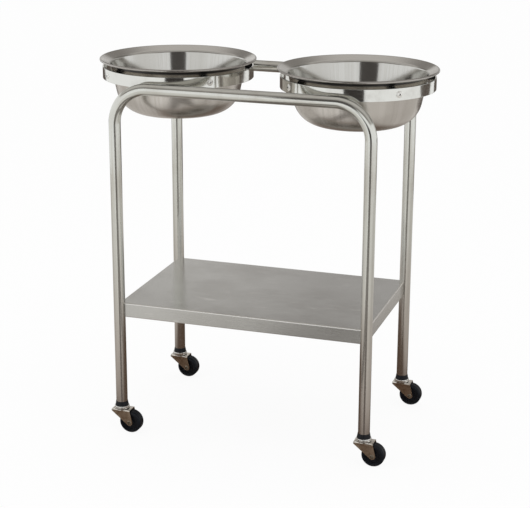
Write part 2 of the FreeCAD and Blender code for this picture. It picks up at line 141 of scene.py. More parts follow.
class Finish(Nodes):
    """A material built node by node round one Principled shader."""

    def __init__(self, name, metallic=0.0, **fixed):
        self.material = bpy.data.materials.new(name)
        self.material.use_nodes = True
        super().__init__(self.material.node_tree)
        self.shader = self.tree.nodes["Principled BSDF"]
        self.shader.inputs["Metallic"].default_value = metallic
        for socket, value in fixed.items():
            self.shader.inputs[socket.replace("_", " ")].default_value = value

    def set(self, **wanted):
        """Feeds the shader's own sockets."""
        for socket, value in wanted.items():
            self.feed(self.shader.inputs[socket.replace("_", " ")], value)
        return self.material

    def place(self, *stretch, output="Object"):
        """Coordinates on the piece, stretched by a factor along each axis."""
        where = self.node("ShaderNodeTexCoord", output=output)
        return self.node("ShaderNodeMapping", None, {"Vector": where, "Scale": stretch})

    def cloud(self, where, scale=1.0, detail=2.0, roughness=0.5):
        """A soft random pattern from 0 to 1."""
        sockets = {"Vector": where, "Scale": scale, "Detail": detail, "Roughness": roughness}
        return self.node("ShaderNodeTexNoise", None, sockets)

    def between(self, value, low, high):
        """0 where the value is at or below low, 1 at or above high."""
        sockets = {"Value": value, "From Min": low, "From Max": high}
        return self.node("ShaderNodeMapRange", {"interpolation_type": "SMOOTHSTEP"}, sockets)

    def mix(self, share, first, second):
        """A colour between two colours."""
        return self.node("ShaderNodeMix", {"data_type": "RGBA"}, {0: share, 6: first, 7: second}, 2)

    def along(self, axis, output="Object"):
        """Where a point lies along one axis, in metres."""
        where = self.node("ShaderNodeTexCoord", output=output)
        return self.node("ShaderNodeSeparateXYZ", None, {0: where}, axis)

    def height(self):
        return self.along("Z")

    def bump(self, level, strength, distance):
        sockets = {"Height": level, "Strength": strength, "Distance": distance}
        return self.node("ShaderNodeBump", None, sockets)


def outside(bm):
    """Merges what meets and turns every face outwards."""
    bmesh.ops.remove_doubles(bm, verts=bm.verts, dist=TOUCH)
    bmesh.ops.recalc_face_normals(bm, faces=bm.faces)
    return bm


def piece(name, bm, finishes, body, nodes, corner=32):
    """Makes the finished piece: smooth, but for open ends and corners past the angle."""
    mesh = bpy.data.meshes.new(name)
    bm.edges.index_update()
    open_ends = [e.index for e in bm.edges if e.is_boundary]
    bm.to_mesh(mesh)
    bm.free()
    mesh.shade_smooth()
    mesh.set_sharp_from_angle(angle=math.radians(corner))
    for index in open_ends:
        mesh.edges[index].use_edge_sharp = True
    for finish in finishes:
        mesh.materials.append(finish)
    made = bpy.data.objects.new(name, mesh)
    bpy.context.scene.collection.objects.link(made)
    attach(made, body)
    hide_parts(*nodes)
    return made


def give_wall(made, thickness):
    """Gives a skin its thickness, inwards."""
    wall = made.modifiers.new("wall", "SOLIDIFY")
    wall.thickness = thickness
    wall.offset = -1.0
    return wall


def lay_out(bm, place):
    """Gives each face its place on the flattened skin: round it and along it, in metres.

    place returns a turn from 0 to 1, the length of one turn, and the length along.
    """
    layer = bm.loops.layers.uv.new("UVMap")
    for face in bm.faces:
        first = None
        for loop in face.loops:
            turn, once_round, along = place(loop.vert.co)
            if first is None:
                first = turn
            turn -= round(turn - first)
            loop[layer].uv = (turn * once_round, along)


def verts_in(geom):
    return [v for v in geom if isinstance(v, bmesh.types.BMVert)]


def edges_in(geom):
    return [e for e in geom if isinstance(e, bmesh.types.BMEdge)]


def stretch(bm, edges, along):
    """Draws open edges out by one step and returns the new open end."""
    made = bmesh.ops.extrude_edge_only(bm, edges=edges)["geom"]
    verts = verts_in(made)
    bmesh.ops.translate(bm, verts=verts, vec=along)
    kept = set(verts)
    return [e for e in edges_in(made) if e.verts[0] in kept and e.verts[1] in kept]


def straight_run(bm, edges, along):
    """Draws edges along a straight run; a short step at each end keeps its shading straight."""
    short = along.normalized() * STRAIGHT_HOLD
    for step in (short, along - short * 2, short):
        edges = stretch(bm, edges, step)
    return edges


def swing(bm, edges, centre, axis, degrees, steps):
    """Draws open edges round a bend."""
    geom = list(edges) + list({v for e in edges for v in e.verts})
    turn = math.radians(degrees)
    spun = bmesh.ops.spin(bm, geom=geom, cent=centre, axis=axis, angle=turn, steps=steps)
    return edges_in(spun["geom_last"])


def along_tube(co, y, half, end_z, rail_z):
    """Where a point of the tube's skin is, round the tube and along it."""
    side = math.copysign(1.0, co.x)
    x = abs(co.x)
    bend_x = half - BEND_RADIUS
    bend_z = rail_z - BEND_RADIUS
    if co.z <= bend_z:
        out, run = x - half, co.z - end_z
    elif x > bend_x:
        out = math.hypot(x - bend_x, co.z - bend_z) - BEND_RADIUS
        run = bend_z - end_z + BEND_RADIUS * math.atan2(co.z - bend_z, x - bend_x)
    else:
        out = co.z - rail_z
        run = bend_z - end_z + BEND_RADIUS * math.pi / 2 + bend_x - x
    turn = math.atan2(co.y - y, out) / math.tau
    return turn, math.tau * TUBE_RADIUS, run * side


def polished_tube(name):
    """Polished stainless, grained round the tube, smudged by hands, duller near the floor and
    warmed there by a painted reflection.
    """
    steel = Finish(name, metallic=1.0)
    grain = steel.cloud(steel.place(90, 5200, 1, output="UV"), detail=3.0)
    smudge = steel.cloud(steel.place(14, 14, 9), detail=4.0, roughness=0.62)
    streak = steel.cloud(steel.place(260, 7, 1, output="UV"), detail=2.0)
    low = 1 - steel.between(steel.height(), *TUBE_ROUGH_AND_PAINTED_REFLECTION_HEIGHTS)
    clean = steel.mix(steel.between(smudge, 0.42, 0.78), TUBE_COLOUR, TUBE_SMUDGE)
    # Near the floor a painted reflection of the brown surroundings warms the colour.
    colour = steel.mix(low * 0.78, clean, TUBE_PAINTED_BROWN_REFLECTION)
    rough = 0.09 + smudge * 0.08 + streak * 0.04 + low * 0.05
    return steel.set(Base_Color=colour, Roughness=rough, Normal=steel.bump(grain, 0.05, 0.0002))


def bent_tube(low, high):
    """A tube swept up one leg, along the rail and down the other leg."""
    y = (low.y + high.y) / 2
    half = high.x - TUBE_RADIUS
    rail_z = high.z - TUBE_RADIUS
    rise = Vector((0, 0, rail_z - BEND_RADIUS - low.z))
    bm = bmesh.new()
    foot = Matrix.Translation((-half, y, low.z))
    bmesh.ops.create_circle(bm, segments=TUBE_SIDES, radius=TUBE_RADIUS, matrix=foot)
    open_end = straight_run(bm, list(bm.edges), rise)
    for side in (-1, 1):
        centre = (side * (half - BEND_RADIUS), y, rail_z - BEND_RADIUS)
        open_end = swing(bm, open_end, centre, (0, 1, 0), 90, BEND_STEPS)
        run = Vector((2 * (half - BEND_RADIUS), 0, 0)) if side < 0 else -rise
        open_end = straight_run(bm, open_end, run)
    outside(bm)
    lay_out(bm, lambda co: along_tube(co, y, half, low.z, rail_z))
    return bm


tube_finish = polished_tube("polished_tube")
for where in ("front", "rear"):
    node = where + "_frame"
    tube = piece(
        where + "_bent_tube", bent_tube(*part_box(node)), [tube_finish],
        "stand", [node],
    )
    give_wall(tube, TUBE_WALL)

# ---- Rings
# Each ring is a flat stainless bar rolled into a hoop and joined end to end. It stands between
# the two rails and is welded to both, with a short rippled bead over and under the touching
# place. The bar is brushed lengthwise, so its grain runs round the hoop.

EDGE_HOLD = 0.0003
EDGE_HOLD_SHARE = 0.2
BAR_THICKNESS = 0.0032
BAR_CORNER = 0.0004
HOOP_SIDES = 224
BEAD_RADIUS = 0.0021
BEAD_SIDES = 12
BEAD_HALF_LENGTH = 0.017
BEAD_STATIONS = 61
BEAD_RIPPLES = 19
BEAD_BELOW_BAR = 0.0006
BEAD_ABOVE_RAIL = 0.0062
BEAD_END_SIZE = 0.25
BEAD_END_GROWTH = 7
BEAD_RIPPLE = 0.09
BAR_COLOUR = (0.72, 0.725, 0.69)
BAR_SMUDGE = (0.63, 0.625, 0.59)
BEAD_COLOUR = (0.50, 0.47, 0.42)
BEAD_STRAW = (0.48, 0.39, 0.28)


class Section:
    """A half section, drawn point by point in the XZ plane and then turned about Z."""

    def __init__(self, x, z):
        self.bm = bmesh.new()
        self.last = self.bm.verts.new((x, 0, z))

    def to(self, x, z):
        """A straight edge; a short step at each end of a long one keeps its shading straight."""
        start, end = self.last.co.copy(), Vector((x, 0, z))
        hold = EDGE_HOLD / max(EDGE_HOLD, (end - start).length)
        shares = (hold, 1 - hold, 1) if hold < EDGE_HOLD_SHARE else (1,)
        for share in shares:
            self.last = bmesh.ops.extrude_vert_indiv(self.bm, verts=[self.last])["verts"][0]
            self.last.co = start.lerp(end, share)
        return self

    def round(self, x, z, degrees, steps):
        """A round edge about a centre, seen from the front, anticlockwise where positive."""
        spun = bmesh.ops.spin(
            self.bm, geom=[self.last], cent=(x, 0, z), axis=(0, -1, 0),
            angle=math.radians(degrees), steps=steps,
        )
        self.last = verts_in(spun["geom_last"])[0]
        return self

    def turned(self, sides):
        """The section spun once round the Z axis."""
        geom = list(self.bm.verts) + list(self.bm.edges)
        bmesh.ops.spin(
            self.bm, geom=geom, cent=(0, 0, 0), axis=(0, 0, 1),
            angle=math.tau, steps=sides, use_merge=True,
        )
        return outside(self.bm)


def brushed_bar(name):
    """Flat bar brushed lengthwise, with fine lines of uneven depth and a few hand marks."""
    steel = Finish(name, metallic=1.0)
    lines = steel.cloud(steel.place(9, 5200, 1, output="UV"), detail=4.0, roughness=0.7)
    marks = steel.cloud(steel.place(26, 26, 26), detail=5.0, roughness=0.6)
    colour = steel.mix(steel.between(marks, 0.45, 0.75), BAR_COLOUR, BAR_SMUDGE)
    colour = steel.mix(steel.between(lines, 0.52, 0.8) * 0.3, colour, BAR_SMUDGE)
    rough = 0.055 + marks * 0.04 + lines * 0.04
    return steel.set(Base_Color=colour, Roughness=rough, Normal=steel.bump(lines, 0.035, 0.0002))


def weld_metal(name):
    """Weld metal left as laid: duller than the bar and straw-coloured where it was hottest."""
    weld = Finish(name, metallic=1.0)
    heat = weld.cloud(weld.place(160, 420, 420), detail=3.0)
    grit = weld.cloud(weld.place(2600, 2600, 2600), detail=2.0)
    colour = weld.mix(weld.between(heat, 0.4, 0.7), BEAD_COLOUR, BEAD_STRAW)
    relief = weld.bump(grit, 0.12, 0.0003)
    return weld.set(Base_Color=colour, Roughness=0.26 + heat * 0.2, Normal=relief)


def bead(bm, stations, material_index):
    """A run of weld drawn from station to station, each station the place of its round section."""
    before = set(bm.faces)
    loop = bmesh.ops.create_circle(bm, segments=BEAD_SIDES, radius=1.0, matrix=stations[0])["verts"]
    edges = list({e for v in loop for e in v.link_edges})
    bmesh.ops.edgeloop_fill(bm, edges=edges)
    for here, there in zip(stations, stations[1:]):
        edges = stretch(bm, edges, Vector((0, 0, 0)))
        step = there @ here.inverted()
        for vert in {v for e in edges for v in e.verts}:
            vert.co = step @ vert.co
    bmesh.ops.edgeloop_fill(bm, edges=edges)
    for face in set(bm.faces) - before:
        face.material_index = material_index


def rippled(place, step, steps, direction):
    """The section of a weld bead at one step: thin at its ends, with even ripples between."""
    share = step / (steps - 1)
    ends = min(1.0, BEAD_END_SIZE + BEAD_END_GROWTH * min(share, 1 - share))
    ripple = 1 + BEAD_RIPPLE * math.sin(math.tau * BEAD_RIPPLES * share)
    size = BEAD_RADIUS * ends * ripple
    return Matrix.Translation(place) @ direction @ Matrix.Scale(size, 4)


def lay_out_round(bm, once_round):
    """Lays out a piece turned about Z, round it and along its section."""
    lay_out(bm, lambda co: (math.atan2(co.y, co.x) / math.tau, once_round, co.z + co.xy.length))


def hoop(centre, radius, bottom, top, rail_y, rail_z):
    """The rolled bar with its four weld beads."""
    inner = radius - BAR_THICKNESS
    corner = BAR_CORNER
    section = Section(inner, bottom + corner)
    section.round(inner + corner, bottom + corner, 90, 3)
    section.to(radius - corner, bottom)
    section.round(radius - corner, bottom + corner, 90, 3)
    section.to(radius, top - corner)
    section.round(radius - corner, top - corner, 90, 3)
    section.to(inner + corner, top)
    section.round(inner + corner, top - corner, 90, 3)
    section.to(inner, bottom + corner)
    bm = section.turned(HOOP_SIDES)
    lay_out_round(bm, math.tau * radius)
    lying = Matrix.Rotation(math.pi / 2, 4, "Y")
    for side in (-1, 1):
        for level in (bottom - BEAD_BELOW_BAR, rail_z + BEAD_ABOVE_RAIL):
            stations = []
            for step in range(BEAD_STATIONS):
                x = BEAD_HALF_LENGTH * (2 * step / (BEAD_STATIONS - 1) - 1)
                bar_y = math.sqrt(radius**2 - x**2)
                above = level - rail_z
                tube_y = rail_y - math.sqrt(max(0.0, TUBE_RADIUS**2 - above**2))
                place = Vector((x, side * (bar_y + tube_y) / 2, level))
                stations.append(rippled(place, step, BEAD_STATIONS, lying))
            bead(bm, stations, 1)
    bmesh.ops.recalc_face_normals(bm, faces=bm.faces)
    bmesh.ops.translate(bm, verts=bm.verts, vec=centre)
    return bm


SIDES = {"left": -1, "right": 1}
frame_low, frame_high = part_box("rear_frame")
rail_y = (frame_low.y + frame_high.y) / 2
rail_z = frame_high.z - TUBE_RADIUS
bar_finish = brushed_bar("brushed_bar")
weld_finish = weld_metal("weld_metal")
for where in SIDES:
    low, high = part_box(where + "_ring")
    middle = Vector(((low.x + high.x) / 2, 0, 0))
    hoop_mesh = hoop(middle, (high.x - low.x) / 2, low.z, high.z, rail_y, rail_z)
    piece(
        where + "_hoop", hoop_mesh, [bar_finish, weld_finish],
        "stand", [where + "_ring"],
    )

# ---- Bowls
# Each bowl is pressed from one round of stainless sheet: a flat bottom, a wide round corner, a
# leaning side and a flared lip whose edge is rolled under. It only rests in its ring, so it can
# be lifted out. The press and the satin polish leave fine lines that run up the side.

BOWL_SHEET = 0.001
BOWL_DEPTH = 0.12065
BOWL_FLAT_RADIUS = 0.077
BOWL_CORNER = 0.060
BOWL_WALL_ANGLE = 11.6
BOWL_SHOULDER = 0.007
BOWL_FLARE_ANGLE = 27.0
BOWL_CURL = 0.0026
BOWL_CURL_TURN = 250.0
BOWL_SIDES = 200
BOWL_INSIDE = (0.60, 0.597, 0.573)
BOWL_OUTSIDE = (0.665, 0.64, 0.605)
BOWL_DULL = (0.80, 0.79, 0.77)
# Painted light inside: a painted highlight on the flare and a painted line of shade where the sheet
# turns over, with the depths below the rim where each starts and is full.
BOWL_FLARE = (0.70, 0.69, 0.66)
BOWL_EDGE = (0.34, 0.32, 0.30)
BOWL_EDGE_LINE = (0.0065, 0.0035)
FLARE_START = (0.034, 0.030)
# Painted shade under the lip: the depths below it where the shade fades in, and where it fades out
# again.
UNDER_LIP_DULL_AND_PAINTED_SHADE_START = (0.0165, 0.0125)
UNDER_LIP_DULL_AND_PAINTED_SHADE_END = (0.0042, 0.0028)
# Painted reflection of the brown surroundings round the bottom of the outside.
BOWL_PAINTED_REFLECTION_RISE = 0.024
BOWL_PAINTED_BROWN_REFLECTION = (0.47, 0.41, 0.36)
# Near black painted shade under the lip.
BOWL_PAINTED_SHADE_UNDER_LIP = (0.065, 0.067, 0.070)


def meeting(first_normal, first_reach, second_normal, second_reach):
    """Where two lines cross, each given by its normal and its distance along that normal."""
    scale = first_normal.x * second_normal.y - first_normal.y * second_normal.x
    x = (first_reach * second_normal.y - first_normal.y * second_reach) / scale
    z = (first_normal.x * second_reach - first_reach * second_normal.x) / scale
    return Vector((x, z))


def pressed_bowl(centre, radius, lip_z):
    """The bowl's outer skin from the middle of its bottom to the end of its rolled lip."""
    bottom = lip_z - BOWL_DEPTH
    corner = Vector((BOWL_FLAT_RADIUS, bottom + BOWL_CORNER))
    curl = Vector((radius - BOWL_CURL, lip_z - BOWL_CURL))
    wall = math.radians(BOWL_WALL_ANGLE)
    flare = math.radians(BOWL_FLARE_ANGLE)
    wall_normal = Vector((math.cos(wall), -math.sin(wall)))
    flare_normal = Vector((math.sin(flare), -math.cos(flare)))
    along_wall = wall_normal.dot(corner) + BOWL_CORNER + BOWL_SHOULDER
    along_flare = flare_normal.dot(curl) - BOWL_CURL + BOWL_SHEET + BOWL_SHOULDER
    shoulder = meeting(wall_normal, along_wall, flare_normal, along_flare)
    wall_end = shoulder - wall_normal * BOWL_SHOULDER
    curl_start = curl - flare_normal * (BOWL_CURL - BOWL_SHEET)
    section = Section(0, bottom)
    section.to(BOWL_FLAT_RADIUS / 3, bottom)
    section.to(BOWL_FLAT_RADIUS * 2 / 3, bottom)
    section.to(BOWL_FLAT_RADIUS, bottom)
    section.round(corner.x, corner.y, 90 - BOWL_WALL_ANGLE, 18)
    section.to(*wall_end)
    section.round(shoulder.x, shoulder.y, BOWL_WALL_ANGLE + BOWL_FLARE_ANGLE - 90, 8)
    section.to(*curl_start)
    section.round(curl.x, curl.y, -BOWL_CURL_TURN, 16)
    bm = section.turned(BOWL_SIDES)
    underside = min(bm.faces, key=lambda face: face.calc_center_median().z)
    if underside.normal.z > 0:
        bmesh.ops.reverse_faces(bm, faces=bm.faces)
    lay_out_round(bm, 1.0)
    bmesh.ops.translate(bm, verts=bm.verts, vec=centre)
    return bm


def bowl_metal(name, clean, base_roughness, bump_strength):
    """Stainless with streaks up the side and cloudy water marks."""
    steel = Finish(name, metallic=1.0)
    streaks = steel.cloud(steel.place(210, 3, 1, output="UV"), detail=3.0, roughness=0.6)
    fine = steel.cloud(steel.place(1500, 60, 1, output="UV"), detail=2.0)
    marks = steel.cloud(steel.place(17, 17, 17), detail=5.0, roughness=0.6)
    bands = steel.cloud(steel.place(13, 0.6, 1, output="UV"), detail=2.0)
    dull = [part * share for part, share in zip(clean, BOWL_DULL)]
    colour = steel.mix(steel.between(streaks, 0.42, 0.72) * 0.5, clean, dull)
    colour = steel.mix(steel.between(bands, 0.44, 0.62) * 0.75, colour, dull)
    relief = steel.bump(streaks * 0.6 + fine * 0.4, bump_strength, 0.0003)
    rough = base_roughness + marks * 0.05 + streaks * 0.03
    steel.set(Base_Color=colour, Roughness=rough, Normal=relief)
    return steel, colour, rough


def below(edge, depths):
    """The heights at the given depths below an edge."""
    return [edge - depth for depth in depths]


def bright_inside(name, rim):
    """The inside: bright, with a painted highlight on the flare and a painted line of shade where
    the sheet turns over.
    """
    steel, colour, rough = bowl_metal(name, BOWL_INSIDE, 0.075, 0.05)
    across = steel.along("Y", output="UV")
    # A painted highlight on the flare and a painted line of shade along the turned edge.
    flare = steel.between(across, *below(rim, FLARE_START))
    edge = steel.between(across, *below(rim, BOWL_EDGE_LINE))
    colour = steel.mix(edge * 0.75, steel.mix(flare, colour, BOWL_FLARE), BOWL_EDGE)
    return steel.set(Base_Color=colour, Roughness=rough + flare * 0.05)


def satin_outside(name, bottom, lip):
    """The outside: satin, with a painted warm reflection round the bottom and painted shade under
    the lip.
    """
    steel, colour, rough = bowl_metal(name, BOWL_OUTSIDE, 0.22, 0.05)
    # A painted reflection of the brown surroundings warms the bottom.
    low = 1 - steel.between(steel.height(), bottom, bottom + BOWL_PAINTED_REFLECTION_RISE)
    # Under the lip, painted shade darkens the colour to near black and the finish is rougher.
    under = steel.between(steel.height(), *below(lip, UNDER_LIP_DULL_AND_PAINTED_SHADE_START))
    under = under * (1 - steel.between(steel.height(), *below(lip, UNDER_LIP_DULL_AND_PAINTED_SHADE_END)))
    colour = steel.mix(under, steel.mix(low * 0.5, colour, BOWL_PAINTED_BROWN_REFLECTION), BOWL_PAINTED_SHADE_UNDER_LIP)
    return steel.set(Base_Color=colour, Roughness=rough + under * 0.1)


bowl_low, bowl_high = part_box("left_basin")
bowl_inside = bright_inside("bright_inside", (bowl_high.x - bowl_low.x) / 2 + bowl_high.z)
bowl_outside = satin_outside("satin_outside", bowl_low.z, bowl_high.z)
for where in SIDES:
    low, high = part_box(where + "_basin")
    middle = Vector(((low.x + high.x) / 2, 0, 0))
    bowl_mesh = pressed_bowl(middle, (high.x - low.x) / 2, high.z)
    bowl = piece(
        where + "_bowl", bowl_mesh, [bowl_outside, bowl_inside],
        where + "_basin", [where + "_basin"],
    )
    give_wall(bowl, BOWL_SHEET).material_offset = 1

# ---- Bumpers
# Four rubber studs inside each ring carry the bowl and keep it from rattling. They are moulded
# in one piece, matt, slightly dusty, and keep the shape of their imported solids.

RUBBER_COLOUR = (0.010, 0.011, 0.013)
RUBBER_DUST = (0.036, 0.035, 0.034)
RUBBER_GLOSS = 0.22
BUMPERS_PER_RING = 4


def moulded_rubber(name, base_roughness):
    """Black rubber with the skin of the mould and dust in its pores."""
    rubber = Finish(name, Specular_IOR_Level=RUBBER_GLOSS)
    pores = rubber.cloud(rubber.place(1400, 1400, 1400), detail=2.0)
    dust = rubber.cloud(rubber.place(70, 70, 70), detail=5.0, roughness=0.65)
    colour = rubber.mix(rubber.between(dust, 0.52, 0.8) * 0.55, RUBBER_COLOUR, RUBBER_DUST)
    rough = base_roughness + dust * 0.18
    return rubber.set(Base_Color=colour, Roughness=rough, Normal=rubber.bump(pores, 0.12, 0.0004))


bumper_finish = moulded_rubber("bumper_rubber", 0.5)
for where in SIDES:
    for number in range(1, BUMPERS_PER_RING + 1):
        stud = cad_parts[f"{where}_bumper_{number}"]
        stud.data.materials.clear()
        stud.data.materials.append(bumper_finish)

# ---- Rivets
# Each bumper is held by a blind rivet through the ring. Outside shows the wide domed head with
# the round mouth of the rivet in its middle and the end of the pulled pin down in it. The mouth
# and the pin end are coloured near black, as painted shade in the hole.

HEAD_RADIUS = 0.00725
HEAD_HEIGHT = 0.0022
HEAD_EDGE = 0.0003
MOUTH_RADIUS = 0.0022
MOUTH_DEPTH = 0.0014
BORE_RADIUS = 0.0015
PIN_DEPTH = 0.0024
RIVET_SIDES = 48
FIRST_RIVET_ANGLE = 45.0
RIVET_COLOUR = (0.90, 0.90, 0.87)
RIVET_DULL = (0.74, 0.72, 0.68)
PAINTED_HOLE_SHADE = (0.045, 0.04, 0.038)


def rivet_head(distance, z, degrees, centre):
    """The head on Z, then laid along the ring's radius and turned to its place."""
    dome = (HEAD_RADIUS**2 + HEAD_HEIGHT**2) / (2 * HEAD_HEIGHT)
    dome_z = HEAD_HEIGHT - dome
    reach = math.degrees(math.asin(HEAD_RADIUS / dome))
    mouth_turn = math.degrees(math.asin(MOUTH_RADIUS / dome))
    mouth_z = dome_z + math.sqrt(dome**2 - MOUTH_RADIUS**2)
    section = Section(0, HEAD_HEIGHT - PIN_DEPTH)
    section.to(BORE_RADIUS, HEAD_HEIGHT - PIN_DEPTH)
    section.to(BORE_RADIUS, HEAD_HEIGHT - MOUTH_DEPTH)
    section.to(MOUTH_RADIUS, HEAD_HEIGHT - MOUTH_DEPTH + HEAD_EDGE)
    section.to(MOUTH_RADIUS, mouth_z)
    section.round(0, dome_z, mouth_turn - reach, 10)
    section.to(HEAD_RADIUS, -HEAD_EDGE)
    section.to(0, -HEAD_EDGE)
    bm = section.turned(RIVET_SIDES)
    # Faces in the mouth and bore take the near black painted shade.
    for face in bm.faces:
        middle = face.calc_center_median()
        if middle.xy.length < MOUTH_RADIUS and -HEAD_EDGE < middle.z < mouth_z:
            face.material_index = 1
    lying = Matrix.Rotation(math.pi / 2, 4, "Y")
    out = Matrix.Translation((distance, 0, z))
    turned = Matrix.Translation(centre) @ Matrix.Rotation(math.radians(degrees), 4, "Z")
    bmesh.ops.transform(bm, matrix=turned @ out @ lying, verts=bm.verts)
    return bm


def tarnished(name, colour, dull):
    """Plated or turned metal with a little tarnish and tiny scratches."""
    metal = Finish(name, metallic=1.0)
    tarnish = metal.cloud(metal.place(150, 150, 150), detail=4.0, roughness=0.6)
    scratches = metal.cloud(metal.place(2400, 900, 2400), detail=2.0)
    shade = metal.mix(metal.between(tarnish, 0.48, 0.78) * 0.7, colour, dull)
    return metal, shade, tarnish, scratches


def bright_metal(name, colour, dull, rough):
    """Small bright parts, scratched all over alike."""
    metal, shade, tarnish, scratches = tarnished(name, colour, dull)
    surface = metal.bump(scratches, 0.05, 0.0002)
    return metal.set(Base_Color=shade, Roughness=rough + tarnish * 0.14, Normal=surface)


rivet_finish = bright_metal("rivet_metal", RIVET_COLOUR, RIVET_DULL, 0.38)
hole_shade_finish = bright_metal("rivet_mouth_painted_shade", PAINTED_HOLE_SHADE, PAINTED_HOLE_SHADE, 0.45)
for where in SIDES:
    low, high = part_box(where + "_ring")
    middle = Vector(((low.x + high.x) / 2, 0, 0))
    for number in range(1, BUMPERS_PER_RING + 1):
        degrees = FIRST_RIVET_ANGLE + 360 / BUMPERS_PER_RING * (number - 1)
        head = rivet_head((high.x - low.x) / 2, (low.z + high.z) / 2, degrees, middle)
        piece(
            f"{where}_rivet_head_{number}", head, [rivet_finish, hole_shade_finish],
            "stand", [f"{where}_rivet_{number}"], corner=40,
        )

# ---- Shelf
# One stainless sheet, folded down on four sides with its edges turned in under it, and notched at
# the corners to fit the legs, where short welds hold it. The top is brushed from end to end. The
# folds carry a painted highlight, and a painted line of shade runs along the foot of the flanges.

SHELF_SHEET = 0.0012
SHELF_BEND = 0.003
SHELF_BEND_STEPS = 6
SHELF_HEM = 0.010
NOTCH_STEPS = 10
PAINTED_HEM_SHADE_BAND = (0.0008, 0.0026)
SHELF_COLOUR = (0.58, 0.58, 0.562)
SHELF_DULL = (0.50, 0.495, 0.475)
SHELF_SCUFF_AND_PAINTED_HIGHLIGHT = (0.86, 0.845, 0.81)
SHELF_PAINTED_HEM_SHADE = (0.40, 0.375, 0.35)


def folded_shelf(low, high):
    """The top's outline with its round notches, drawn down, folded and hemmed."""
    width, depth = high.x, high.y
    bm = bmesh.new()
    corner = bm.verts.new((width - TUBE_RADIUS, depth, high.z))
    last = corner
    for centre_x, centre_y in ((1, 1), (1, -1), (-1, -1), (-1, 1)):
        place = (centre_x * width, centre_y * depth, high.z)
        spun = bmesh.ops.spin(
            bm, geom=[last], cent=place, axis=(0, 0, 1), angle=math.pi / 2, steps=NOTCH_STEPS
        )
        last = verts_in(spun["geom_last"])[0]
        if (centre_x, centre_y) != (-1, 1):
            last = bmesh.ops.extrude_vert_indiv(bm, verts=[last])["verts"][0]
            last.co = next_notch(centre_x, centre_y, width, depth, high.z)
    bm.edges.new((last, corner))
    top = bmesh.ops.contextual_create(bm, geom=list(bm.edges))["faces"]
    drawn = bmesh.ops.extrude_face_region(bm, geom=top)["geom"]
    verts = verts_in(drawn)
    bmesh.ops.translate(bm, verts=verts, vec=(0, 0, low.z - high.z))
    outside(bm)
    at_top = [e for e in bm.edges if min(v.co.z for v in e.verts) > high.z - TOUCH]
    folds = [e for e in at_top if e.calc_length() > depth]
    bmesh.ops.bevel(
        bm, geom=folds, offset=SHELF_BEND, segments=SHELF_BEND_STEPS,
        profile=0.5, affect="EDGES", material=-1,
    )
    under = [f for f in bm.faces if f.normal.z < -0.9 and f.calc_center_median().z < low.z + TOUCH]
    notched = [f for f in bm.faces if at_notch(f, width, depth)]
    bmesh.ops.delete(bm, geom=under + notched, context="FACES")
    for across in (Vector((0, 1, 0)), Vector((1, 0, 0))):
        for side in (-1, 1):
            reach = depth if across.y else width
            rim = [e for e in bm.edges if on_rim(e, across * side, reach, low.z)]
            stretch(bm, rim, -across * side * SHELF_HEM)
    outside(bm)
    return bm


def next_notch(centre_x, centre_y, width, depth, z):
    """Where the straight side after a notch ends, clockwise round the shelf."""
    ends = {
        (1, 1): (width, TUBE_RADIUS - depth),
        (1, -1): (TUBE_RADIUS - width, -depth),
        (-1, -1): (-width, depth - TUBE_RADIUS),
    }
    return (*ends[centre_x, centre_y], z)


def at_notch(face, width, depth):
    """True for the upright faces round a leg."""
    middle = face.calc_center_median()
    away = math.hypot(abs(middle.x) - width, abs(middle.y) - depth)
    return abs(face.normal.z) < 0.1 and away < TUBE_RADIUS * 1.01


def on_rim(edge, out, reach, z):
    """True for the lower edge of the flange that faces the way given."""
    ends = [v.co for v in edge.verts]
    low_down = max(abs(co.z - z) for co in ends) < TOUCH * 10
    return low_down and all(abs(co.dot(out) - reach) < TOUCH * 10 for co in ends)


def brushed_sheet(name, low, high):
    """Sheet brushed end to end, with faint scuffs, a dull bloom, a painted highlight on the folds
    and painted shade along the hems.
    """
    steel = Finish(name, metallic=1.0)
    lines = steel.cloud(steel.place(7, 2100, 2100), detail=4.0, roughness=0.7)
    bloom = steel.cloud(steel.place(5, 7, 7), detail=4.0, roughness=0.6)
    scuffs = steel.between(steel.cloud(steel.place(24, 150, 150), detail=3.0), 0.62, 0.74)
    colour = steel.mix(steel.between(bloom, 0.38, 0.72), SHELF_COLOUR, SHELF_DULL)
    # Scuffs share their pale colour with the painted highlight of the folds.
    colour = steel.mix(scuffs * 0.25, colour, SHELF_SCUFF_AND_PAINTED_HIGHLIGHT)
    near_side, near_end = (
        steel.between(abs(steel.along(axis)), reach - SHELF_BEND, reach - SHELF_BEND * 0.4)
        for axis, reach in (("X", high.x), ("Y", high.y))
    )
    edge = near_side.highest(near_end)
    # A painted highlight along the folds at the top, and painted shade along the hems at the foot
    # of the flanges.
    fold = edge * steel.between(steel.height(), high.z - SHELF_BEND, high.z - SHELF_BEND * 0.5)
    hem = edge * (1 - steel.between(steel.height(), *(low.z + rise for rise in PAINTED_HEM_SHADE_BAND)))
    colour = steel.mix(fold * 0.9, colour, SHELF_SCUFF_AND_PAINTED_HIGHLIGHT)
    colour = steel.mix(hem * 0.7, colour, SHELF_PAINTED_HEM_SHADE)
    rough = 0.125 + bloom * 0.07 + lines * 0.05 - scuffs * 0.03 + edge * 0.08
    return steel.set(Base_Color=colour, Roughness=rough, Normal=steel.bump(lines, 0.12, 0.0003))


low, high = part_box("shelf")
shelf_mesh = folded_shelf(low, high)
shelf_finish = brushed_sheet("brushed_sheet", low, high)
shelf = piece("shelf_tray", shelf_mesh, [shelf_finish], "stand", ["shelf"])
give_wall(shelf, SHELF_SHEET)
flat_faces = shelf.modifiers.new("flat_faces", "WEIGHTED_NORMAL")
flat_faces.keep_sharp = True

# ---- Caster collars
# A black moulded plug fills each tube end and shows below it as a short collar that widens towards
# the caster. The moulding has a fine matt texture and a softened lower edge.

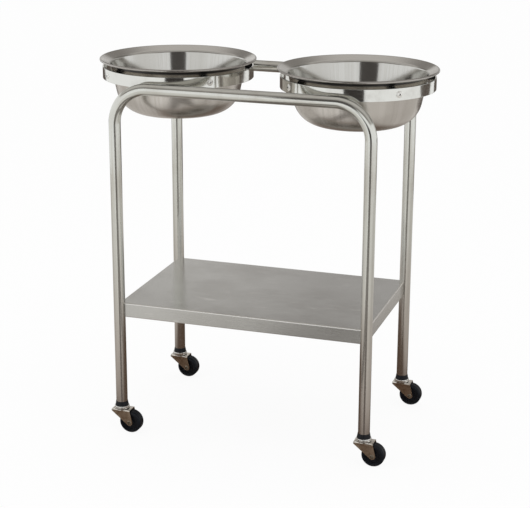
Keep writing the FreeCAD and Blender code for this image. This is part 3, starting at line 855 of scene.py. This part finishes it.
COLLAR_BORE = 0.0048
COLLAR_TOP_RADIUS = 0.01325
COLLAR_BOTTOM_RADIUS = 0.0148
COLLAR_EDGE = 0.001
COLLAR_HEIGHT = 0.010
SLEEVE_LEAD = 0.0015
CASTER_SIDES = 72
PLASTIC_COLOUR = (0.007, 0.008, 0.011)
PLASTIC_WORN = (0.024, 0.024, 0.026)
CORNERS = {"fl": (-1, -1), "fr": (1, -1), "rl": (-1, 1), "rr": (1, 1)}


def leg_place(corner):
    """The foot of a leg's axis on the floor."""
    x_side, y_side = CORNERS[corner]
    return Vector((x_side * (frame_high.x - TUBE_RADIUS), y_side * rail_y, 0))


def at_legs(name, bm, finishes, body, node, corner_angle=32):
    """The same piece under each of the four legs."""
    for corner in CORNERS:
        copy = bm.copy()
        bmesh.ops.translate(copy, verts=copy.verts, vec=leg_place(corner))
        rides = "stand" if body == "stand" else f"{corner}_{body}"
        piece(f"{corner}_{name}", copy, finishes, rides, [f"{corner}_{node}"], corner_angle)
    bm.free()


def collar(bottom, top):
    """The plug and its collar, turned about the leg."""
    leg_end = bottom + COLLAR_HEIGHT
    sleeve = TUBE_RADIUS - TUBE_WALL
    section = Section(COLLAR_BORE, bottom)
    section.to(COLLAR_BOTTOM_RADIUS - COLLAR_EDGE, bottom)
    section.round(COLLAR_BOTTOM_RADIUS - COLLAR_EDGE, bottom + COLLAR_EDGE, 90, 4)
    section.to(COLLAR_TOP_RADIUS, leg_end)
    section.to(sleeve, leg_end)
    section.to(sleeve, top - SLEEVE_LEAD)
    section.to(sleeve - SLEEVE_LEAD, top)
    section.to(COLLAR_BORE, top)
    section.to(COLLAR_BORE, bottom)
    return section.turned(CASTER_SIDES)


def moulded_plastic(name):
    """Black nylon with the mould's fine texture and paler rubbed places."""
    plastic = Finish(name, Specular_IOR_Level=RUBBER_GLOSS)
    texture = plastic.cloud(plastic.place(1800, 1800, 1800), detail=2.0)
    rubbed = plastic.cloud(plastic.place(90, 90, 90), detail=4.0, roughness=0.6)
    colour = plastic.mix(plastic.between(rubbed, 0.55, 0.8) * 0.5, PLASTIC_COLOUR, PLASTIC_WORN)
    rough = 0.34 + rubbed * 0.16
    relief = plastic.bump(texture, 0.08, 0.0003)
    return plastic.set(Base_Color=colour, Roughness=rough, Normal=relief)


plastic_finish = moulded_plastic("moulded_plastic")
low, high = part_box("fl_adapter")
at_legs("collar", collar(low.z, high.z), [plastic_finish], "stand", "adapter")

# ---- Caster stems and ball cages
# A steel bolt through the collar carries the swivel, and is riveted over under the fork. The balls
# run in a flat steel cage that only shows as a dark line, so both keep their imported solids.

STEM_COLOUR = (0.46, 0.44, 0.40)
STEM_DULL = (0.24, 0.21, 0.18)

stem_finish = bright_metal("plated_bolt", STEM_COLOUR, STEM_DULL, 0.3)
for corner in CORNERS:
    for name in ("stem", "ball_cage"):
        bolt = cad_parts[f"{corner}_{name}"]
        bolt.data.materials.clear()
        bolt.data.materials.append(stem_finish)

# ---- Race cups
# A pressed steel cup covers the balls. It is bright plated, and its rounded shoulder carries the
# clearest highlight of the caster.

CUP_SHEET = 0.0019
CUP_EDGE = 0.0016
CUP_COLOUR = (0.90, 0.915, 0.90)
CUP_DULL = (0.76, 0.765, 0.74)
CUP_PAINTED_SHADE = (0.10, 0.09, 0.08)
CUP_SHADE_BAND = (0.0009, 0.0019)
CUP_SHADE_WAVE = 0.0004


def race_cup(radius, bottom, top):
    """The cup's wall in section, turned about the leg."""
    section = Section(COLLAR_BORE, top - CUP_SHEET)
    section.to(radius - CUP_SHEET, top - CUP_SHEET)
    section.to(radius - CUP_SHEET, bottom)
    section.to(radius, bottom)
    section.to(radius, top - CUP_EDGE)
    section.round(radius - CUP_EDGE, top - CUP_EDGE, 90, 6)
    section.to(COLLAR_BORE, top)
    section.to(COLLAR_BORE, top - CUP_SHEET)
    return section.turned(CASTER_SIDES)


def plated_cup(name, bottom):
    """Bright plating, with a painted line of shade along its lower edge."""
    plating, colour, tarnish, scratches = tarnished(name, CUP_COLOUR, CUP_DULL)
    # A painted line of shade round the foot of the cup, with a wavering top edge and a rougher
    # finish.
    level = plating.height() + tarnish * CUP_SHADE_WAVE
    painted_shade_band = 1 - plating.between(level, *(bottom + rise for rise in CUP_SHADE_BAND))
    colour = plating.mix(painted_shade_band * 0.9, colour, CUP_PAINTED_SHADE)
    rough = 0.13 + tarnish * 0.1 + painted_shade_band * 0.25
    relief = plating.bump(scratches, 0.04, 0.0002)
    return plating.set(Base_Color=colour, Roughness=rough, Normal=relief)


low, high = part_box("fl_race_cup")
cup_mesh = race_cup((high.x - low.x) / 2, low.z, high.z)
cup_finish = plated_cup("bright_plating", low.z)
at_legs("cup", cup_mesh, [cup_finish], "stand", "race_cup")

# ---- Forks
# Each fork is folded from 2 mm steel round the wheel, swelled under the race, and plated. Near the
# floor the plating has turned tan, and a painted highlight runs along the fold.

FORK_COLOUR = (0.47, 0.375, 0.285)
FORK_DULL = (0.31, 0.225, 0.155)
FORK_PAINTED_HIGHLIGHT = (0.90, 0.87, 0.81)
FORK_HIGHLIGHT_BAND = (0.0035, 0.0010)


def plated_fork(name, top):
    """Plating gone tan on the flanks, with a painted highlight along the fold."""
    plating = Finish(name, metallic=1.0)
    stain = plating.cloud(plating.place(120, 120, 120), detail=5.0, roughness=0.6)
    fine = plating.cloud(plating.place(2600, 2600, 700), detail=2.0)
    # Painted highlight along the fold and over the top plate, where the finish is also smoother.
    fold = plating.between(plating.height(), *below(top, FORK_HIGHLIGHT_BAND))
    colour = plating.mix(plating.between(stain, 0.4, 0.75), FORK_COLOUR, FORK_DULL)
    colour = plating.mix(fold * 0.85, colour, FORK_PAINTED_HIGHLIGHT)
    rough = 0.3 + stain * 0.14 - fold * 0.12
    return plating.set(Base_Color=colour, Roughness=rough, Normal=plating.bump(fine, 0.07, 0.0003))


fork_finish = plated_fork("plated_fork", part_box("fl_fork")[1].z)
for corner in CORNERS:
    fork_mesh = bmesh.new()
    fork_mesh.from_mesh(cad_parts[corner + "_fork"].data)
    bmesh.ops.remove_doubles(fork_mesh, verts=fork_mesh.verts, dist=TOUCH)
    piece(
        corner + "_folded_fork", fork_mesh, [fork_finish],
        corner + "_swivel", [corner + "_fork"], corner=24,
    )

# ---- Axles
# A tubular steel rivet passes through the fork and the wheel. Both its ends are spread into a low
# ring round a dark hole.

AXLE_RADIUS = 0.004
AXLE_BORE = 0.0032
AXLE_BORE_DEPTH = 0.006
AXLE_HEAD_RADIUS = 0.0049
AXLE_HEAD = 0.0015
AXLE_HEAD_ROUND = 0.0007
AXLE_COLOUR = (0.40, 0.36, 0.30)
AXLE_DULL = (0.20, 0.165, 0.13)


def laid_on_axle(bm, x, z):
    """A piece turned about Z, laid across the caster at its axle."""
    lying = Matrix.Rotation(math.pi / 2, 4, "X")
    bmesh.ops.transform(bm, matrix=Matrix.Translation((x, 0, z)) @ lying, verts=bm.verts)
    return bm


def hollow_rivet(half):
    """The axle's section from the bottom of one bore to the bottom of the other."""
    inside = half - AXLE_HEAD
    rounded = AXLE_HEAD_RADIUS - AXLE_HEAD_ROUND
    section = Section(0, AXLE_BORE_DEPTH - half)
    section.to(AXLE_BORE, AXLE_BORE_DEPTH - half)
    section.to(AXLE_BORE, -half)
    section.to(rounded, -half)
    section.round(rounded, AXLE_HEAD_ROUND - half, 90, 4)
    section.to(AXLE_HEAD_RADIUS, -inside)
    section.to(AXLE_RADIUS, -inside)
    section.to(AXLE_RADIUS, inside)
    section.to(AXLE_HEAD_RADIUS, inside)
    section.to(AXLE_HEAD_RADIUS, half - AXLE_HEAD_ROUND)
    section.round(rounded, half - AXLE_HEAD_ROUND, 90, 4)
    section.to(AXLE_BORE, half)
    section.to(AXLE_BORE, half - AXLE_BORE_DEPTH)
    section.to(0, half - AXLE_BORE_DEPTH)
    return section.turned(RIVET_SIDES)


low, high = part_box("fl_axle")
wheel_x = (low.x + high.x) / 2 - leg_place("fl").x
wheel_z = (low.z + high.z) / 2
axle_mesh = laid_on_axle(hollow_rivet((high.y - low.y) / 2), wheel_x, wheel_z)
axle_finish = bright_metal("axle_steel", AXLE_COLOUR, AXLE_DULL, 0.28)
at_legs("axle_rivet", axle_mesh, [axle_finish], "swivel", "axle")

# ---- Wheel cores
# The wheel is a moulded black core, with a boss, a thin web and a rim, under a rubber tyre. The web
# has a raised ring from the mould.

HUB_BORE = 0.00406
BOSS_RADIUS = 0.0075
BOSS_EDGE = 0.0004
RIM_LAND = 0.003
RIM_HALF_WIDTH = 0.009
HUB_RECESS = 0.0026
WEB_RING_RADIUS = 0.0125
WEB_RING_HALF = 0.0005
WEB_RING_HEIGHT = 0.0004
TYRE_THICKNESS = 0.0064


def half_hub(section, boss_half, rim, side):
    """One face of the core, from the boss to the rim's edge, or back again on the other side."""
    web = RIM_HALF_WIDTH - HUB_RECESS
    outward = [
        (HUB_BORE, boss_half), (BOSS_RADIUS - BOSS_EDGE, boss_half),
        (BOSS_RADIUS, boss_half - BOSS_EDGE), (BOSS_RADIUS, web),
        (WEB_RING_RADIUS - WEB_RING_HALF, web), (WEB_RING_RADIUS, web + WEB_RING_HEIGHT),
        (WEB_RING_RADIUS + WEB_RING_HALF, web), (rim - RIM_LAND, web),
        (rim - RIM_LAND, RIM_HALF_WIDTH), (rim, RIM_HALF_WIDTH),
    ]
    for x, z in outward if side < 0 else reversed(outward):
        section.to(x, side * z)


def wheel_core(boss_half, rim):
    """The core's section, turned about the axle."""
    section = Section(HUB_BORE, 0)
    half_hub(section, boss_half, rim, -1)
    half_hub(section, boss_half, rim, 1)
    section.to(HUB_BORE, 0)
    return section.turned(CASTER_SIDES)


hub_low, hub_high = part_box("fl_wheel_hub")
hub_radius = (hub_high.z - hub_low.z) / 2
core_mesh = laid_on_axle(wheel_core((hub_high.y - hub_low.y) / 2, hub_radius), wheel_x, wheel_z)
at_legs("wheel_core", core_mesh, [plastic_finish], "wheel", "wheel_hub")

# ---- Tyres
# A plain black rubber tyre with rounded shoulders is moulded on each core. A fine line from the
# mould runs round its middle, and the tread is scuffed grey where it rolls.

TYRE_SHOULDER = 0.005
MOULD_LINE = 0.00012
TYRE_COLOUR = (0.005, 0.007, 0.011)
TYRE_SCUFF = (0.026, 0.026, 0.027)
SCUFF_HEIGHT = 0.016


def tyre(radius, half):
    """The tyre's section, turned about the axle."""
    inner = radius - TYRE_THICKNESS
    shoulder = radius - TYRE_SHOULDER
    section = Section(inner, -half)
    section.to(shoulder, -half)
    section.round(shoulder, TYRE_SHOULDER - half, 90, 10)
    section.to(radius - MOULD_LINE, -MOULD_LINE * 2)
    section.to(radius, 0)
    section.to(radius - MOULD_LINE, MOULD_LINE * 2)
    section.to(radius - MOULD_LINE, half - TYRE_SHOULDER)
    section.round(shoulder, half - TYRE_SHOULDER, 90, 10)
    section.to(inner, half)
    section.to(inner, -half)
    return section.turned(CASTER_SIDES)


def tyre_rubber(name):
    """Black rubber, scuffed on the tread and dusty, with soft broad highlights."""
    rubber = Finish(name, Specular_IOR_Level=RUBBER_GLOSS)
    pores = rubber.cloud(rubber.place(1500, 1500, 1500), detail=2.0)
    dust = rubber.cloud(rubber.place(85, 85, 85), detail=5.0, roughness=0.65)
    low = 1 - rubber.between(rubber.height(), 0.0, SCUFF_HEIGHT)
    scuff = rubber.between(dust + low * 0.2, 0.55, 0.85)
    colour = rubber.mix(scuff * 0.7, TYRE_COLOUR, TYRE_SCUFF)
    rough = 0.36 + dust * 0.16 + scuff * 0.12
    return rubber.set(Base_Color=colour, Roughness=rough, Normal=rubber.bump(pores, 0.1, 0.0003))


low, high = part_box("fl_tread")
tyre_mesh = laid_on_axle(tyre((high.z - low.z) / 2, (high.y - low.y) / 2), wheel_x, wheel_z)
tyre_finish = tyre_rubber("tyre_rubber")
at_legs("tyre", tyre_mesh, [tyre_finish], "wheel", "tread")

# ---- Floor
# A plain pale floor. To the camera and in the metal it is nearly white, and it keeps a faint
# shadow of the stand.

FLOOR_HALF = 14.0
FLOOR_COLOUR = (0.90, 0.90, 0.90)
FLOOR_WHITE = 0.92
SHEET_CORNERS = [(-1, -1), (1, -1), (1, 1), (-1, 1)]


def to_the_eye(nodes):
    """1 for camera, glossy and transmission rays, and 0 for the rest."""
    camera_ray, glossy_ray, clear_ray = (
        nodes.node("ShaderNodeLightPath", output=f"Is {kind} Ray")
        for kind in ("Camera", "Glossy", "Transmission")
    )
    return camera_ray.highest(glossy_ray).highest(clear_ray)


def flat_sheet(name, corners):
    """A flat sheet of the studio through four points, in order round it."""
    bm = bmesh.new()
    bmesh.ops.create_grid(bm, x_segments=1, y_segments=1, size=1.0)
    for vert in bm.verts:
        vert.co = corners[SHEET_CORNERS.index((round(vert.co.x), round(vert.co.y)))]
    mesh = bpy.data.meshes.new(name)
    bm.to_mesh(mesh)
    bm.free()
    made = bpy.data.objects.new(name, mesh)
    bpy.context.scene.collection.objects.link(made)
    return made


def level_sheet(name, x0, y0, x1, y1, z):
    return flat_sheet(name, [(x0, y0, z), (x1, y0, z), (x1, y1, z), (x0, y1, z)])


floor = level_sheet("floor", -FLOOR_HALF, -FLOOR_HALF, FLOOR_HALF, FLOOR_HALF, 0.0)
ground = Finish("pale_floor", Specular_IOR_Level=0.0)
ground.set(Base_Color=FLOOR_COLOUR, Roughness=0.9)
floor_paint = Signal(ground, ground.shader.outputs[0])
white = ground.node("ShaderNodeEmission")
ground.show(ground.blend(to_the_eye(ground) * FLOOR_WHITE, floor_paint, white))
floor.data.materials.append(ground.material)

# ---- Studio
# The stand is lit as in a small product studio, by a softbox on each side of the camera and one
# overhead. Cards that glow evenly with their own colour and only show in the metal paint its
# reflections: the dark camera side, a dark panel, the brown table and its back, dark runners from
# the front legs, the dim ceiling and the grey wall.

SOFTBOXES = {
    "left_softbox": ((-2.15, -1.75, 1.0), (0, 0, 0.55), 2.0, 2.0, 11.0),
    "right_softbox": ((2.55, -1.35, 1.0), (0, 0, 0.55), 1.7, 2.0, 8.0),
    "top_softbox": ((0.1, 0.0, 2.6), (0, 0, 0.5), 1.3, 1.3, 3.6),
}
for name, (place, aim, width, height, power) in SOFTBOXES.items():
    lamp = bpy.data.lights.new(name, "AREA")
    lamp.shape = "RECTANGLE"
    lamp.size = width
    lamp.size_y = height
    lamp.energy = power
    box = bpy.data.objects.new(name, lamp)
    box.location = place
    box.rotation_euler = (Vector(aim) - Vector(place)).to_track_quat("-Z", "Y").to_euler()
    box.visible_camera = False
    box.visible_glossy = False
    bpy.context.scene.collection.objects.link(box)

WHITE = (1.0, 1.0, 1.0)
AIR_LIGHT = 0.9
world = bpy.data.worlds.new("studio")
bpy.context.scene.world = world
world.use_nodes = True
air = Nodes(world.node_tree)
lit = air.tree.nodes["Background"]
air.feed(lit.inputs["Color"], WHITE)
air.feed(lit.inputs["Strength"], AIR_LIGHT)
shown = air.node("ShaderNodeBackground", None, {"Color": WHITE})
air.show(air.blend(to_the_eye(air), Signal(air, lit.outputs[0]), shown), "World Output")


def upright_sheet(name, x0, z0, x1, z1, y):
    return flat_sheet(name, [(x0, y, z0), (x1, y, z0), (x1, y, z1), (x0, y, z1)])


def glowing(finish, colour):
    """Makes a finish glow evenly with its own colour."""
    finish.show(finish.node("ShaderNodeEmission", None, {"Color": colour}))
    return finish.material


def only_in_metal(card, material):
    """Shows a card to reflections alone."""
    card.data.materials.append(material)
    card.visible_camera = False
    card.visible_diffuse = False
    card.visible_shadow = False
    card.visible_transmission = False


def along_y(finish, stops, dark, bright):
    """A colour that changes from front to back, by stops of place in metres and level."""
    first, last = stops[0][0], stops[-1][0]
    share = (finish.along("Y") - first) * (1 / (last - first))
    places = [((y - first) / (last - first), level) for y, level in stops]
    ramp = finish.node("ShaderNodeValToRGB", {"stops": places}, {0: share})
    return finish.mix(ramp, dark, bright)


TABLE_BROWN = (0.125, 0.085, 0.060)
TABLE_BRIGHT = (0.93, 0.915, 0.885)
TABLE_STOPS = [
    (-2.3, 1.0), (-1.15, 0.93), (-0.62, 0.66), (-0.40, 0.45),
    (-0.22, 0.05), (0.30, 0.0), (1.4, 0.42), (2.6, 0.5),
]
TABLE_SIDE = (0.75, 0.73, 0.70)
TABLE_SIDE_START = (0.33, 0.62)
TABLE_SIDE_SHARE = 0.75
TABLE_PLACE = (-2.6, -2.3, 2.6, 2.6, 0.0006)
table = Finish("table_top")
table_shade = along_y(table, TABLE_STOPS, TABLE_BROWN, TABLE_BRIGHT)
beside = table.between(abs(table.along("X")), *TABLE_SIDE_START)
table_shade = table.mix(beside * TABLE_SIDE_SHARE, table_shade, TABLE_SIDE)
only_in_metal(level_sheet("table_card", *TABLE_PLACE), glowing(table, table_shade))

RUNNER_DARK = (0.10, 0.085, 0.075)
RUNNER_PALE = (0.62, 0.60, 0.575)
RUNNER_STOPS = [(-3.15, 0.15), (-2.3, 0.2), (-1.2, 0.35), (-0.7, 0.2), (-0.24, 0.12)]
RUNNER_END = Vector((1.05, -3.15, 0.0012))
RUNNER_START_SHARE = 0.04
RUNNER_START_HALF = Vector((0.03, 0, 0))
RUNNER_END_HALF = Vector((0.90, 0, 0))
runner = Finish("dark_runner")
runner_glow = glowing(runner, along_y(runner, RUNNER_STOPS, RUNNER_DARK, RUNNER_PALE))
for corner in ("fl", "fr"):
    start = leg_place(corner).lerp(RUNNER_END, RUNNER_START_SHARE)
    start.z = RUNNER_END.z
    strip = [
        start - RUNNER_START_HALF, RUNNER_END - RUNNER_END_HALF,
        RUNNER_END + RUNNER_END_HALF, start + RUNNER_START_HALF,
    ]
    only_in_metal(flat_sheet(corner + "_runner_card", strip), runner_glow)

BACK_BROWN = (0.115, 0.095, 0.082)
CAMERA_DARK = (0.045, 0.040, 0.038)
PANEL_DARK = (0.10, 0.092, 0.088)
PLAIN_CARDS = {
    "back_card": ("table_back", BACK_BROWN, level_sheet, (-4.0, 1.9, 1.7, 5.9, 0.0012)),
    "back_right_card": ("table_right", BACK_BROWN, level_sheet, (2.8, 1.9, 4.4, 5.9, 0.0012)),
    "camera_card": ("dark_surround", CAMERA_DARK, upright_sheet, (-0.12, 0, 1.60, 0.8, -3.2)),
    "near_card": ("dark_panel", PANEL_DARK, upright_sheet, (-0.12, 0.86, 0.36, 1.36, -0.75)),
}
for name, (finish_name, colour, lay_sheet, place) in PLAIN_CARDS.items():
    only_in_metal(lay_sheet(name, *place), glowing(Finish(finish_name), colour))

CEILING_DARK = (0.25, 0.235, 0.22)
CEILING_BRIGHT = (0.66, 0.635, 0.61)
CEILING_STOPS = [
    (-4.2, 0.0), (-2.8, 0.03), (-1.46, 0.45), (-0.53, 0.95), (0.35, 0.6),
    (1.3, 0.8), (2.1, 0.2), (2.9, 0.0), (6.0, 0.0),
]
CEILING_PLACE = (-6, -4.2, 6, 6.0, 2.9)
ceiling = Finish("ceiling")
ceiling_shade = along_y(ceiling, CEILING_STOPS, CEILING_DARK, CEILING_BRIGHT)
only_in_metal(level_sheet("ceiling_card", *CEILING_PLACE), glowing(ceiling, ceiling_shade))

WALL_GREY = (0.68, 0.665, 0.645)
WALL_DIM = (0.52, 0.505, 0.49)
WALL_DIM_START = (-2.5, -1.5)
WALL_PLACE = (-7, 0.15, 7, 2.9, 6)
wall_paint = Finish("grey_wall")
dimmed = wall_paint.between(wall_paint.along("X"), *WALL_DIM_START)
wall_shade = wall_paint.mix(dimmed, WALL_GREY, WALL_DIM)
only_in_metal(upright_sheet("wall_card", *WALL_PLACE), glowing(wall_paint, wall_shade))

# ---- Camera
# A long lens stands in front and a little to the right, and looks down on the stand. It has no
# shift, so that every other view keeps the stand in the middle.

IMAGE_WIDTH = 530
FOCAL_PIXELS = 1465.6
SENSOR_WIDTH = 36.0
CAMERA_REACH = 100.0
CAMERA_PLACE = (0.9721, -2.9730, 1.3476)
TURN = 0.3166
PITCH = -0.297
ROLL = 0.0038
camera_data = bpy.data.cameras.new("camera")
camera_data.sensor_width = SENSOR_WIDTH
camera_data.lens = FOCAL_PIXELS / IMAGE_WIDTH * SENSOR_WIDTH
camera_data.clip_end = CAMERA_REACH
camera = bpy.data.objects.new("camera", camera_data)
across = Vector((math.cos(TURN), math.sin(TURN), 0))
ahead = Vector((-math.sin(TURN), math.cos(TURN), 0))
forward = ahead * math.cos(PITCH) + Vector((0, 0, 1)) * math.sin(PITCH)
upward = Vector((0, 0, 1)) * math.cos(PITCH) - ahead * math.sin(PITCH)
right = across * math.cos(ROLL) + upward * math.sin(ROLL)
top = upward * math.cos(ROLL) - across * math.sin(ROLL)
turned = Matrix((right, top, -forward)).transposed().to_4x4()
camera.matrix_world = Matrix.Translation(CAMERA_PLACE) @ turned
bpy.context.scene.collection.objects.link(camera)
bpy.context.scene.camera = camera
bpy.context.scene.view_settings.view_transform = "Standard"
